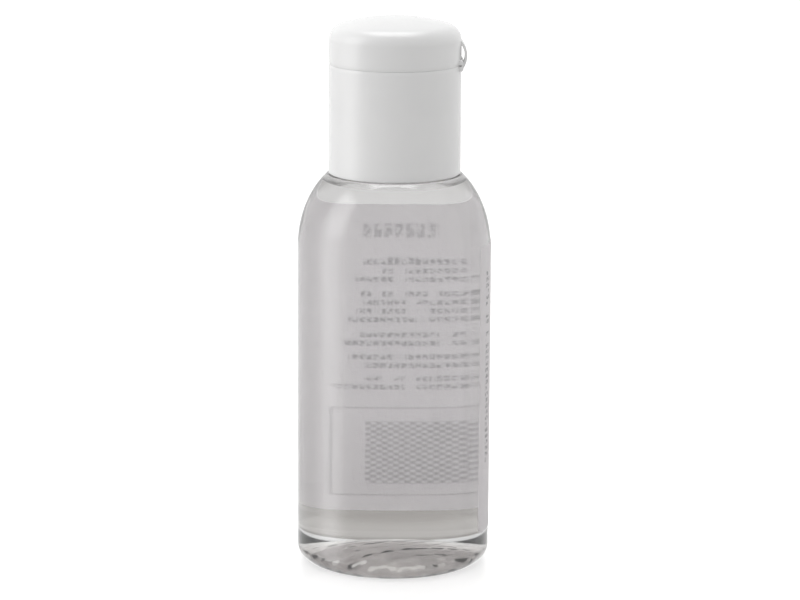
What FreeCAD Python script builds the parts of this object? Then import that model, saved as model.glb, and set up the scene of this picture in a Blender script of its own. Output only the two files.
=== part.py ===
import FreeCAD, Part
import math
import os

# Round travel bottle with a screw-on flip-top cap, in millimetres.
# The standing plane is z = 0, the bottle's axis is Z and the lid's hinge is on the +X side.

# Bottle body
BODY_DIAMETER = 36.0
BODY_WALL = 0.6
BODY_TOP = 60.2  # where the straight wall turns into the shoulder
HEEL_RADIUS = 3.0
STANDING_LAND = 0.8  # width of the ring the bottle stands on
PUSH_UP = 3.2  # height of the domed base at its middle
BASE_WALL = 1.0
SHOULDER_HEIGHT = 13.65  # from the straight wall to the ledge under the cap
SHOULDER_SWEEP = 53.7  # degrees of the oval arc that the shoulder follows
LEDGE_MARGIN = 0.3  # how far the ledge reaches beyond the cap's wall
LEDGE_WALL = 1.3  # under the ledge at its outer edge
LEDGE_THIN = 0.6  # under the ledge at the neck
SHOULDER_POINTS = 9

# Neck with its support ring
NECK_DIAMETER = 17.6
BORE_DIAMETER = 14.2
NECK_ENTRY_RADIUS = 1.0
RING_OVERHANG = 1.9
RING_LIFT = 0.9  # free neck between the ledge and the ring
RING_HEIGHT = 1.2
FINISH_HEIGHT = 13.9  # from the top of the ring to the sealing land

# Screw thread, shared by the neck and the cap
THREAD_DEPTH = 1.05
THREAD_LEAD = 3.175
THREAD_TURNS = 1.5
THREAD_ROOT_WIDTH = 1.4
THREAD_CREST_WIDTH = 0.7
THREAD_DROP = 1.5  # from the sealing land to the top of the thread
THREAD_BITE = 0.3  # how deep a thread is rooted in its wall
THREAD_CLEARANCE = 0.25  # radial, crest to wall

# Filling and label
FILL_ABOVE_RING = 2.0
LABEL_THICKNESS = 0.08
LABEL_BOTTOM = 6.7
LABEL_HEIGHT = 54.7
LABEL_HINGE_SIDE = 118.0  # degrees from +Y round to the end on the hinge's side
LABEL_FREE_SIDE = 85.0  # degrees from +Y round to the other end

# Sealing washer under the cap's deck
LINER_THICKNESS = 1.0
LINER_BORE = 9.0
LINER_CLEARANCE = 0.4

# Cap base
CAP_SEAT_GAP = 0.28  # between the ledge and the skirt
SKIRT_WALL = 0.9
BARREL_WALL = 0.75
SLOT_WIDTH = 0.52  # between the threaded barrel and the skirt
BARREL_GAP = 0.6  # between the support ring and the threaded barrel
DECK_WALL = 1.2
SLOT_DROP = 1.4  # solid shoulder below the deck's underside, over the slot
RIM_HEIGHT = 2.27  # from the deck up to the parting line of base and lid
SEAM_GAP = 0.3
SEAM_EDGE = 0.35  # slope on the rim below the parting line
COLLAR_WALL = 0.8
COLLAR_HEIGHT = 1.1  # collar that centres the lid, above the parting line
COLLAR_CLEARANCE = 0.2
SPOUT_DIAMETER = 6.4
SPOUT_HEIGHT = 4.1
SPOUT_EDGE = 0.5
ORIFICE_DIAMETER = 3.0

# Flip lid
LID_HEIGHT = 8.78  # parting line to the middle of the domed top
LID_CORNER = 3.0
LID_DOME = 36.0  # radius of the domed top
LID_EDGE = 0.45  # rounded lower rim
LID_WALL = 0.9
PLUG_CLEARANCE = 0.3
PLUG_DEPTH = 1.5  # how far the plug reaches into the orifice
PLUG_TIP_EDGE = 0.3
PLUG_FOOT = 0.6  # flare where the plug meets the lid

# Hinge: two films on the axis and a bowed strap between them
HINGE_OFFSET = 0.33  # axis beyond the cap's wall
LUG_INNER = 2.1
LUG_WIDTH = 1.3
LUG_HEIGHT = 0.9
FILM_DEPTH = 0.5
STRAP_WIDTH = 3.6
STRAP_THICKNESS = 0.45
STRAP_BOW = 1.03  # how far the strap stands out of the cap's wall
STRAP_LOW = 1.6  # lower foot, below the parting line
STRAP_HIGH = 4.95  # upper foot, above the parting line
STRAP_FOOT = 0.7
STRAP_GAP = 0.08  # to the lid, which turns free of the strap

# Places that follow from the sizes above
BODY_R = BODY_DIAMETER / 2
NECK_R = NECK_DIAMETER / 2
BORE_R = BORE_DIAMETER / 2
RING_R = NECK_R + RING_OVERHANG
THREAD_R = NECK_R + THREAD_DEPTH
BARREL_R = THREAD_R + THREAD_CLEARANCE
CAP_R = BARREL_R + BARREL_WALL + SLOT_WIDTH + SKIRT_WALL
LEDGE_R = CAP_R + LEDGE_MARGIN
LEDGE_HEIGHT = BODY_TOP + SHOULDER_HEIGHT
RING_BASE = LEDGE_HEIGHT + RING_LIFT
RING_TOP = RING_BASE + RING_HEIGHT
LAND = RING_TOP + FINISH_HEIGHT
FILL_LEVEL = RING_TOP + FILL_ABOVE_RING
THREAD_START = LAND - THREAD_DROP - THREAD_ROOT_WIDTH / 2 - THREAD_TURNS * THREAD_LEAD
DECK_UNDER = LAND + LINER_THICKNESS
DECK_TOP = DECK_UNDER + DECK_WALL
SEAM_HEIGHT = DECK_TOP + RIM_HEIGHT
SKIRT_BOTTOM = LEDGE_HEIGHT + CAP_SEAT_GAP
RIM_TOP = SEAM_HEIGHT - SEAM_GAP / 2
LID_BOTTOM = SEAM_HEIGHT + SEAM_GAP / 2
LID_TOP = SEAM_HEIGHT + LID_HEIGHT
LID_BORE_R = CAP_R - LID_WALL
SPOUT_TOP = DECK_TOP + SPOUT_HEIGHT
HINGE_X = CAP_R + HINGE_OFFSET
FULL_TURN = 360.0
AXIS = FreeCAD.Vector(0, 0, 1)
CENTRE = FreeCAD.Vector(0, 0, 0)


def at(radius, height):
    return FreeCAD.Vector(radius, 0, height)


def line(start, end):
    return Part.makeLine(at(*start), at(*end))


def chain(points):
    """Straight edges from point to point."""
    return [line(a, b) for a, b in zip(points, points[1:])]


def arc(start, middle, end):
    return Part.Arc(at(*start), at(*middle), at(*end)).toShape()


def corner_arc(centre, radius, from_angle, to_angle):
    """Circular edge round a centre, between two angles in degrees."""
    angles = (from_angle, (from_angle + to_angle) / 2, to_angle)
    points = [(centre[0] + radius * math.cos(math.radians(a)),
               centre[1] + radius * math.sin(math.radians(a))) for a in angles]
    return arc(*points)


def lathe(edges):
    """Solid turned about Z from a closed outline of edges in the XZ plane."""
    face = Part.Face(Part.Wire(Part.__sortEdges__(edges)))
    solid = face.revolve(CENTRE, AXIS, FULL_TURN)
    return Part.makeSolid(solid) if solid.ShapeType == "Shell" else solid


def dome(rim_radius, rim_height, top_height):
    """Arc from the axis down to a rim, level on the axis."""
    rise = top_height - rim_height
    sphere = (rim_radius ** 2 + rise ** 2) / (2 * rise)
    half = rim_radius / 2
    middle = top_height - sphere + math.sqrt(sphere ** 2 - half ** 2)
    return arc((0, top_height), (half, middle), (rim_radius, rim_height))


def shoulder(inset, top):
    """Oval arc from the straight wall up to a height: its edge and its upper end."""
    sweep = math.radians(SHOULDER_SWEEP)
    reach = (BODY_R - LEDGE_R) / (1 - math.cos(sweep))
    middle_r = BODY_R - reach
    rise = SHOULDER_HEIGHT / math.sin(sweep) - inset
    reach -= inset
    last = math.asin((top - BODY_TOP) / rise)
    points = []
    for i in range(SHOULDER_POINTS):
        t = last * i / (SHOULDER_POINTS - 1)
        points.append(at(middle_r + reach * math.cos(t), BODY_TOP + rise * math.sin(t)))
    leaving = FreeCAD.Vector(-reach * math.sin(last), 0, rise * math.cos(last)).normalize()
    curve = Part.BSplineCurve()
    curve.interpolate(Points=points, InitialTangent=AXIS, FinalTangent=leaving)
    return curve.toShape(), (points[-1].x, points[-1].z)


def envelope(grow):
    """Outside of the bottle up to the ledge, grown sideways by a skin thickness."""
    foot_r = BODY_R - HEEL_RADIUS
    hollow_r = foot_r - STANDING_LAND
    edge, top = shoulder(-grow, LEDGE_HEIGHT)
    wall = BODY_R + grow
    return lathe([dome(hollow_r, 0, PUSH_UP)]
                 + chain([(hollow_r, 0), (foot_r, 0)])
                 + [corner_arc((foot_r, HEEL_RADIUS), HEEL_RADIUS, -90, 0)]
                 + ([line((BODY_R, HEEL_RADIUS), (wall, HEEL_RADIUS))] if grow else [])
                 + [line((wall, HEEL_RADIUS), (wall, BODY_TOP)), edge]
                 + chain([top, (0, LEDGE_HEIGHT), (0, PUSH_UP)]))


def cavity():
    """Inside of the bottle, from the domed base to above the mouth."""
    foot_r = BODY_R - HEEL_RADIUS
    hollow_r = foot_r - STANDING_LAND
    inner_heel = HEEL_RADIUS - BODY_WALL
    ceiling = LEDGE_HEIGHT - LEDGE_WALL
    edge, top = shoulder(BODY_WALL, ceiling)
    entry_r = BORE_R + NECK_ENTRY_RADIUS
    entry = LEDGE_HEIGHT - LEDGE_THIN
    entry_top = entry + NECK_ENTRY_RADIUS
    above = LAND + LINER_THICKNESS
    base_top = PUSH_UP + BASE_WALL
    wall = BODY_R - BODY_WALL
    return lathe([dome(hollow_r, BODY_WALL, base_top),
                  line((hollow_r, BODY_WALL), (foot_r, BODY_WALL)),
                  corner_arc((foot_r, HEEL_RADIUS), inner_heel, -90, 0),
                  line((wall, HEEL_RADIUS), (wall, BODY_TOP)), edge,
                  line(top, (entry_r, entry)),
                  corner_arc((entry_r, entry_top), NECK_ENTRY_RADIUS, 270, 180)]
                 + chain([(BORE_R, entry_top), (BORE_R, above), (0, above), (0, base_top)]))


def thread(root_r, crest_r, start):
    """Trapezoid ridge swept along a right-hand helix, rooted in its wall."""
    bitten_r = root_r + math.copysign(THREAD_BITE, root_r - crest_r)
    half_crest = THREAD_CREST_WIDTH / 2
    slope = (THREAD_ROOT_WIDTH / 2 - half_crest) / abs(crest_r - root_r)
    half_bitten = THREAD_ROOT_WIDTH / 2 + slope * THREAD_BITE
    outline = [(bitten_r, start - half_bitten), (crest_r, start - half_crest),
               (crest_r, start + half_crest), (bitten_r, start + half_bitten),
               (bitten_r, start - half_bitten)]
    ridge = Part.Wire(chain(outline))
    path = Part.makeHelix(THREAD_LEAD, THREAD_TURNS * THREAD_LEAD, root_r)
    path.translate(FreeCAD.Vector(0, 0, start))
    return Part.Wire(path.Edges).makePipeShell([ridge], True, True)


def bottle():
    root = LEDGE_HEIGHT - LEDGE_THIN / 2
    neck = lathe(chain([(0, root), (NECK_R, root), (NECK_R, RING_BASE), (RING_R, RING_BASE),
                        (RING_R, RING_TOP), (NECK_R, RING_TOP), (NECK_R, LAND), (0, LAND),
                        (0, root)]))
    blank = envelope(0).fuse(neck).cut(cavity()).removeSplitter()
    return blank.fuse(thread(NECK_R, THREAD_R, THREAD_START))


def solution():
    below = Part.makeCylinder(BODY_DIAMETER, FILL_LEVEL)
    return cavity().common(below)


def label():
    sweep = LABEL_HINGE_SIDE + LABEL_FREE_SIDE
    sector = Part.makeCylinder(BODY_DIAMETER, LABEL_HEIGHT, at(0, LABEL_BOTTOM), AXIS, sweep)
    sector.rotate(CENTRE, AXIS, 90 - LABEL_HINGE_SIDE)
    return sector.common(envelope(LABEL_THICKNESS).cut(envelope(0)))


def sealing_liner():
    outer = Part.makeCylinder(BARREL_R - LINER_CLEARANCE, LINER_THICKNESS, at(0, LAND))
    return outer.cut(Part.makeCylinder(LINER_BORE / 2, LINER_THICKNESS, at(0, LAND)))


def lug_pair(bottom):
    """Two ears that carry the hinge films out to the axis, rooted in the cap's wall."""
    ears = []
    for y in (LUG_INNER, -LUG_INNER - LUG_WIDTH):
        ears.append(Part.makeBox(HINGE_X, LUG_WIDTH, LUG_HEIGHT, FreeCAD.Vector(0, y, bottom)))
    core = Part.makeCylinder(CAP_R - SKIRT_WALL / 2, LUG_HEIGHT, at(0, bottom))
    return ears[0].fuse(ears[1]).cut(core)


def cap_base():
    skirt_r = CAP_R - SKIRT_WALL
    barrel_out = BARREL_R + BARREL_WALL
    barrel_end = RING_TOP + BARREL_GAP
    slot_top = DECK_UNDER - SLOT_DROP
    collar_r = LID_BORE_R - COLLAR_CLEARANCE
    recess_r = collar_r - COLLAR_WALL
    collar_top = RIM_TOP + COLLAR_HEIGHT
    spout_r = SPOUT_DIAMETER / 2
    orifice_r = ORIFICE_DIAMETER / 2
    spout_side = SPOUT_TOP - SPOUT_EDGE
    outline = chain([(orifice_r, DECK_UNDER), (BARREL_R, DECK_UNDER), (BARREL_R, barrel_end),
                     (barrel_out, barrel_end), (barrel_out, slot_top), (skirt_r, slot_top),
                     (skirt_r, SKIRT_BOTTOM), (CAP_R, SKIRT_BOTTOM), (CAP_R, RIM_TOP - SEAM_EDGE),
                     (CAP_R - SEAM_EDGE, RIM_TOP), (collar_r, RIM_TOP), (collar_r, collar_top),
                     (recess_r, collar_top), (recess_r, DECK_TOP), (spout_r, DECK_TOP),
                     (spout_r, spout_side)])
    outline.append(corner_arc((spout_r - SPOUT_EDGE, spout_side), SPOUT_EDGE, 0, 90))
    outline += chain([(spout_r - SPOUT_EDGE, SPOUT_TOP), (orifice_r, SPOUT_TOP),
                      (orifice_r, DECK_UNDER)])
    ridge = thread(BARREL_R, NECK_R + THREAD_CLEARANCE, THREAD_START - THREAD_LEAD / 2)
    return lathe(outline).fuse(lug_pair(RIM_TOP - LUG_HEIGHT)).removeSplitter().fuse(ridge)


def lid_form(grow, bottom):
    """Domed form of the lid down to a height, grown by a gap or shrunk by a wall."""
    corner_r = CAP_R - LID_CORNER
    lean = math.acos(corner_r / (LID_DOME - LID_CORNER))
    dome_centre = LID_TOP - LID_DOME
    side_top = dome_centre + (LID_DOME - LID_CORNER) * math.sin(lean)
    wall = CAP_R + grow
    return [line((wall, bottom), (wall, side_top)),
            corner_arc((corner_r, side_top), LID_CORNER + grow, 0, math.degrees(lean)),
            corner_arc((0, dome_centre), LID_DOME + grow, math.degrees(lean), 90)]


def lid_outside(grow):
    """Outer form of the lid as a full body, grown by a gap."""
    bottom = LID_BOTTOM - grow
    edge_r = CAP_R - LID_EDGE
    edge_top = LID_BOTTOM + LID_EDGE
    return lathe([line((0, bottom), (edge_r, bottom)),
                  corner_arc((edge_r, edge_top), LID_EDGE + grow, -90, 0),
                  line((0, LID_TOP + grow), (0, bottom))] + lid_form(grow, edge_top))


def flip_lid():
    ceiling = LID_TOP - LID_WALL
    hollow = lathe(chain([(0, ceiling), (0, LID_BOTTOM), (LID_BORE_R, LID_BOTTOM)])
                   + lid_form(-LID_WALL, LID_BOTTOM))
    plug_r = ORIFICE_DIAMETER / 2 - PLUG_CLEARANCE
    tip = SPOUT_TOP - PLUG_DEPTH
    above = ceiling + LID_WALL / 2
    plug = lathe(chain([(0, tip), (plug_r - PLUG_TIP_EDGE, tip), (plug_r, tip + PLUG_TIP_EDGE),
                        (plug_r, ceiling - PLUG_FOOT), (plug_r + PLUG_FOOT, ceiling),
                        (plug_r + PLUG_FOOT, above), (0, above), (0, tip)]))
    shell = lid_outside(0).cut(hollow).fuse(lug_pair(LID_BOTTOM))
    return shell.fuse(plug).removeSplitter()


def hinge_films():
    films = []
    for y in (LUG_INNER, -LUG_INNER - LUG_WIDTH):
        corner = FreeCAD.Vector(HINGE_X - FILM_DEPTH, y, RIM_TOP)
        films.append(Part.makeBox(FILM_DEPTH, LUG_WIDTH, SEAM_GAP, corner))
    return Part.makeCompound(films)


def hinge_strap():
    root = CAP_R - STRAP_BOW
    low = SEAM_HEIGHT - STRAP_LOW
    high = SEAM_HEIGHT + STRAP_HIGH
    middle = (low + high) / 2
    half_foot = STRAP_FOOT / 2
    crest = CAP_R + STRAP_BOW
    outline = [arc((root, low - half_foot), (crest, middle), (root, high + half_foot)),
               line((root, high + half_foot), (root, high - half_foot)),
               arc((root, high - half_foot), (crest - STRAP_THICKNESS, middle), (root, low + half_foot)),
               line((root, low + half_foot), (root, low - half_foot))]
    face = Part.Face(Part.Wire(Part.__sortEdges__(outline)))
    face.translate(FreeCAD.Vector(0, -STRAP_WIDTH / 2, 0))
    band = face.extrude(FreeCAD.Vector(0, STRAP_WIDTH, 0))
    base_wall = Part.makeCylinder(CAP_R, RIM_TOP - SKIRT_BOTTOM, at(0, SKIRT_BOTTOM))
    return band.cut(base_wall).cut(lid_outside(STRAP_GAP))


def save(name, shape):
    solid = shape.Solids[0] if len(shape.Solids) == 1 else shape
    if not solid.isValid() or solid.Volume <= 0:
        raise ValueError("bad solid: " + name)
    solid.exportStep("parts/" + name + ".step")
    box = solid.optimalBoundingBox(True, False)
    print(name, len(shape.Solids), "solid(s), volume", round(solid.Volume, 1),
          "z", round(box.ZMin, 2), "to", round(box.ZMax, 2), "x max", round(box.XMax, 2))


os.makedirs("parts", exist_ok=True)
save("bottle", bottle())
save("solution", solution())
save("label", label())
save("sealing_liner", sealing_liner())
save("cap_base", cap_base())
save("hinge_films", hinge_films())
save("hinge_strap", hinge_strap())
save("flip_lid", flip_lid())
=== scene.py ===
import math
from collections import namedtuple

import bpy
import numpy as np
from mathutils import Matrix


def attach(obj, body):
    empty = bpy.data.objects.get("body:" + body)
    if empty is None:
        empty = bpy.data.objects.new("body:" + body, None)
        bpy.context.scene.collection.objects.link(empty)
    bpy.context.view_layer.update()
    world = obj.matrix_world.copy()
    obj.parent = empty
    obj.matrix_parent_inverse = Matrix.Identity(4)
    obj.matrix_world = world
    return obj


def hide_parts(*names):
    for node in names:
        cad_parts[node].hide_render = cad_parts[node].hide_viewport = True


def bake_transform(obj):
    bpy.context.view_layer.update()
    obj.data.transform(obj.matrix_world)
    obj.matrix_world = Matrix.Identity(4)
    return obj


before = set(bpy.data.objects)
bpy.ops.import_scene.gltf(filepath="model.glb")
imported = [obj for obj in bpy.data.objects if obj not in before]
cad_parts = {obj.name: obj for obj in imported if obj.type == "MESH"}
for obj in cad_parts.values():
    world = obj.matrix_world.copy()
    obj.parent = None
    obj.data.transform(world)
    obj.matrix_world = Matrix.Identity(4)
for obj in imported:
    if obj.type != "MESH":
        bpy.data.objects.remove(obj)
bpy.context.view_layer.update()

MM = 0.001
TURN = 2 * math.pi
SAME = 1e-6  # two places this near to each other count as one
LEAST = 1e-4  # shortest step along an outline, and the least bend that is eased

# Bottle, in millimetres
BODY_R = 18.0
BODY_WALL = 0.6
BODY_TOP = 60.2  # where the straight wall turns into the shoulder
HEEL_R = 3.0
STANDING_LAND = 0.8  # width of the ring it stands on
PUSH_UP = 3.2  # height of the domed base at its middle
BASE_WALL = 1.0
SHOULDER_HEIGHT = 13.65
SHOULDER_SWEEP = math.radians(53.7)  # part of the oval arc that the shoulder follows
LEDGE_R = 12.57
LEDGE = BODY_TOP + SHOULDER_HEIGHT
LEDGE_WALL = 1.3  # under the ledge at its outer edge
LEDGE_THIN = 0.6  # under the ledge at the neck
NECK_R = 8.8
BORE_R = 7.1
NECK_ENTRY = 1.0  # rounding where the inside turns into the neck
RING_R = 10.7
RING_LIFT = 0.9
RING_HEIGHT = 1.2
FINISH_HEIGHT = 13.9  # from the ring up to the sealing land
RING_BASE = LEDGE + RING_LIFT
RING_TOP = RING_BASE + RING_HEIGHT
LAND = RING_TOP + FINISH_HEIGHT
FOOT_R = BODY_R - HEEL_R
HOLLOW_R = FOOT_R - STANDING_LAND
FOOT_EASE = 1.0
LEDGE_EASE = 0.5
ROOT_EASE = 0.4
RING_EASE = 0.35
RING_ROOT_EASE = 0.2
RING_TOP_EASE = 0.3
MOUTH_EASE = 0.4

# Uneven underside of the base: heights in millimetres, waves in radians per millimetre
RIPPLE = 0.02
RIPPLE_WAVES = ((1.5, 0.6, 0.4), (-0.7, 1.3, 1.9), (0.9, -1.9, 4.0))  # along X, along Y, start
RIPPLE_MARGIN = 0.6
CURL = 0.01
CURL_WAVE = 2.6
CURL_START = 0.7
CURL_CROSS = (-0.9, 2.1, 2.0)
SWAY = 1.5
SWAY_WAVE = 0.8
SWAY_START = 1.0

# Liquid
FILL_ABOVE_RING = 2.0
FILL = RING_TOP + FILL_ABOVE_RING
MENISCUS = 0.6  # how high its edge is drawn up the neck
MENISCUS_REACH = 1.1
LIQUID_GAP = 0.02  # to the wall that it wets
SURFACE_STEPS = 24

# Screw thread
THREAD_DEPTH = 1.05
THREAD_LEAD = 3.175
THREAD_TURNS = 1.5
THREAD_ROOT = 1.4
THREAD_CREST = 0.7
THREAD_DROP = 1.5  # from the sealing land to the top of the thread
THREAD_START = LAND - THREAD_DROP - THREAD_ROOT / 2 - THREAD_TURNS * THREAD_LEAD
CAP_THREAD_START = THREAD_START - THREAD_LEAD / 2
THREAD_FADE = 0.07  # in turns
THREAD_ROW = 0.12

# Label film
LABEL_BOTTOM = 6.7
LABEL_TOP = 61.4
LABEL_HINGE_SIDE = math.radians(118.0)
LABEL_FREE_SIDE = math.radians(85.0)
LABEL_CORNER = 1.5
LABEL_CORNER_ROWS = 9
LABEL_ROWS = 40
LABEL_COLUMNS = 221
LABEL_GAP = 0.01
LABEL_OUT = 0.08

# Washer
LINER_IN = 4.5
LINER_OUT = 9.7
LINER_THICKNESS = 1.0
LINER_TOP = LAND + LINER_THICKNESS
LINER_EASE = 0.15

# Cap base
CAP_R = 12.27
SKIRT_WALL = 0.9
SKIRT_IN = CAP_R - SKIRT_WALL
SKIRT_LIFT = 0.06  # above the ledge
SKIRT_BOTTOM = LEDGE + SKIRT_LIFT
SKIRT_TURN = 1.0  # height of the turned-in lower edge
BARREL_R = 10.1
BARREL_OUT = 10.85
BARREL_GAP = 0.6  # to the support ring
BARREL_END = RING_TOP + BARREL_GAP
DECK_UNDER = LINER_TOP
DECK_WALL = 1.2
DECK_TOP = DECK_UNDER + DECK_WALL
DECK_START_R = 6.0  # where the outline starts and ends, under the deck
SLOT_DROP = 1.4  # from the deck's underside
SLOT_TOP = DECK_UNDER - SLOT_DROP
RIM_HEIGHT = 2.27  # from the deck up to the seam of base and lid
SEAM = DECK_TOP + RIM_HEIGHT
SEAM_HALF = 0.15
RIM_TOP = SEAM - SEAM_HALF
SEAM_LIP = 0.01
GROOVE_DEPTH = 0.12
GROOVE_HALF = 0.5
GROOVE_REACH = 0.9  # below the lip, where the groove starts
COLLAR_R = 11.17
COLLAR_IN = 10.37
COLLAR_HEIGHT = 1.1
COLLAR_TOP = RIM_TOP + COLLAR_HEIGHT
SPOUT_R = 3.2
SPOUT_HEIGHT = 4.1
SPOUT_TOP = DECK_TOP + SPOUT_HEIGHT
ORIFICE_R = 1.5
SINK_HEIGHT = 85.8  # of a shallow sink mark round the skirt
SINK_DEPTH = 0.03
SINK_SPREAD = 0.9
WALL_ROWS = 36
WALL_LOW = 1.5  # from the skirt's edge to the wall's first row
WALL_HIGH = 1.0  # from its last row to the rim
DECK_EASE = 0.3
SLOT_EASE = 0.2
SKIRT_EASE = 0.3
GROOVE_EASE = 2.0
LIP_EASE = 0.03
COLLAR_ROOT_EASE = 0.1
COLLAR_EASE = 0.25
COLLAR_FOOT_EASE = 0.5
SPOUT_FOOT_EASE = 0.6
SPOUT_EASE = 0.5
ORIFICE_EASE = 0.25
ORIFICE_UNDER_EASE = 0.3

# Flip lid
LID_BOTTOM = SEAM + SEAM_HALF
LID_HEIGHT = 8.78
LID_TOP = SEAM + LID_HEIGHT
LID_CORNER = 3.0
LID_DOME = 36.0
LID_WALL = 0.9
LID_BORE = CAP_R - LID_WALL
LID_RIM = 1.0  # height of the lower rim
LID_STEPS = 24
LID_IN_EASE = 0.15
PLUG_R = 1.2
PLUG_FOOT = 1.2  # how far the plug's foot spreads under the ceiling
PLUG_DEPTH = 1.5  # how far it reaches into the spout
PLUG_TIP = SPOUT_TOP - PLUG_DEPTH
PLUG_TIP_EASE = 0.35
PLUG_FOOT_EASE = 0.6

# Hinge
HINGE_OFFSET = 0.33  # of the axis from the cap's wall
HINGE_X = CAP_R + HINGE_OFFSET
EAR_INNER = 2.1
EAR_WIDTH = 1.3
EAR_HEIGHT = 0.9
EAR_SINK = 0.7  # how deep an ear is set in the wall
EAR_ROOT = CAP_R - EAR_SINK
EAR_LAP = 0.02  # how far an ear reaches into the seam
EAR_EASE = 0.55
EAR_SEAM_EASE = 0.1
EAR_ENDS = np.array([(1.0, 0.86), (0.94, 0.96), (0.8, 1.0)])  # share of half the width, section's size
WEB_DEPTH = 0.5
WEB_WAIST = 0.45  # share of the depth at the thinnest place
WEB_LAP = 0.08
WEB_HALF = 0.45  # half the length, as a share of an ear's width
WEB_ROWS = 9
STRAP_WIDTH = 3.6
STRAP_THICK = 0.45
STRAP_BOW = 1.03  # how far the strap stands out of the cap's wall
STRAP_BELOW = 1.6  # lower foot below the seam
STRAP_ABOVE = 4.95  # upper foot above the seam
STRAP_LOW = SEAM - STRAP_BELOW
STRAP_HIGH = SEAM + STRAP_ABOVE
STRAP_FOOT = 0.7
STRAP_SINK = 0.4  # how deep its feet are set in the wall
STRAP_EASE = 0.3  # share of the thickness that is rounded at the long edges
STRAP_STEPS = 33
STRAP_CORNER_STEPS = 5

# Steps of the surfaces
ROUND = 256
CORNER_STEPS = 8
HEEL_STEPS = 32
ENTRY_STEPS = 12
SHOULDER_STEPS = 40
DOME_STEPS = 34


def arc(centre, radius, start, end, steps=CORNER_STEPS):
    """Points on a circle round a centre, from one angle to another in degrees."""
    t = np.radians(np.linspace(start, end, steps + 1))
    return np.column_stack([centre[0] + radius * np.cos(t), centre[1] + radius * np.sin(t)])


def rounded(*corners):
    """Outline through corners, each a radius, a height and an ease. A corner with an ease is replaced by a
    circle of that radius that touches both of its sides; one without stays sharp."""
    points = [np.array([corners[0][:2]], float)]
    for before, corner, after in zip(corners, corners[1:], corners[2:]):
        ease = corner[2] if len(corner) > 2 else 0.0
        p = np.array(corner[:2], float)
        a = np.array(before[:2], float) - p
        b = np.array(after[:2], float) - p
        a, b = a / np.linalg.norm(a), b / np.linalg.norm(b)
        half = math.acos(np.clip(a @ b, -1, 1)) / 2
        if ease <= 0 or math.pi / 2 - half < LEAST:
            points.append(p[None])
            continue
        middle = p + (a + b) / np.linalg.norm(a + b) * ease / math.sin(half)
        first = p + a * ease / math.tan(half) - middle
        last = p + b * ease / math.tan(half) - middle
        t0 = math.atan2(first[1], first[0])
        sweep = (math.atan2(last[1], last[0]) - t0 + math.pi) % TURN - math.pi
        t = t0 + sweep * np.linspace(0, 1, CORNER_STEPS + 1)
        points.append(middle + ease * np.column_stack([np.cos(t), np.sin(t)]))
    return np.vstack(points + [np.array([corners[-1][:2]], float)])


def shoulder(inset, top):
    """Oval arc from the straight wall up to a height: its radius falls with the cosine of the way along it
    and its height grows with the sine."""
    reach = (BODY_R - LEDGE_R) / (1 - math.cos(SHOULDER_SWEEP))
    rise = SHOULDER_HEIGHT / math.sin(SHOULDER_SWEEP) - inset
    t = np.linspace(0, math.asin((top - BODY_TOP) / rise), SHOULDER_STEPS + 1)
    r = BODY_R - reach + (reach - inset) * np.cos(t)
    return np.column_stack([r, BODY_TOP + rise * np.sin(t)])


def dome(rim, low, high):
    """Points on a ball's shallow cap, from its middle on the axis out to its rim."""
    rise = high - low
    ball = (rim ** 2 + rise ** 2) / (2 * rise)
    r = np.linspace(0, rim, DOME_STEPS + 1)
    return np.column_stack([r, high - ball + np.sqrt(ball ** 2 - r ** 2)])


def upright_rows(radius, heights):
    """Rows of one radius at a list of heights."""
    return np.column_stack([np.full(len(heights), radius), heights])


def outline(*runs):
    """Rows of an outline from runs of points, without doubles. Each run gives the number of the finish on the
    bands that end in it."""
    rows = np.vstack([np.asarray(points, float) for points, _ in runs])
    kinds = np.concatenate([np.full(len(points), kind) for points, kind in runs])
    keep = np.concatenate([[True], np.linalg.norm(np.diff(rows, axis=0), axis=1) > LEAST])
    return rows[keep], kinds[keep]


def mesh_piece(name, points, faces, finishes, kinds=None, sharp=35.0):
    """Mesh object in metres from points in millimetres; kinds gives each face the number of its finish."""
    mesh = bpy.data.meshes.new(name)
    mesh.from_pydata((np.asarray(points, float) * MM).tolist(), [], faces)
    for finish in finishes:
        mesh.materials.append(finish)
    if kinds is not None:
        mesh.polygons.foreach_set("material_index", np.asarray(kinds, np.int32))
    mesh.polygons.foreach_set("use_smooth", np.ones(len(mesh.polygons), bool))
    mesh.set_sharp_from_angle(angle=math.radians(sharp))
    mesh.update()
    piece = bpy.data.objects.new(name, mesh)
    bpy.context.scene.collection.objects.link(piece)
    return piece


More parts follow.
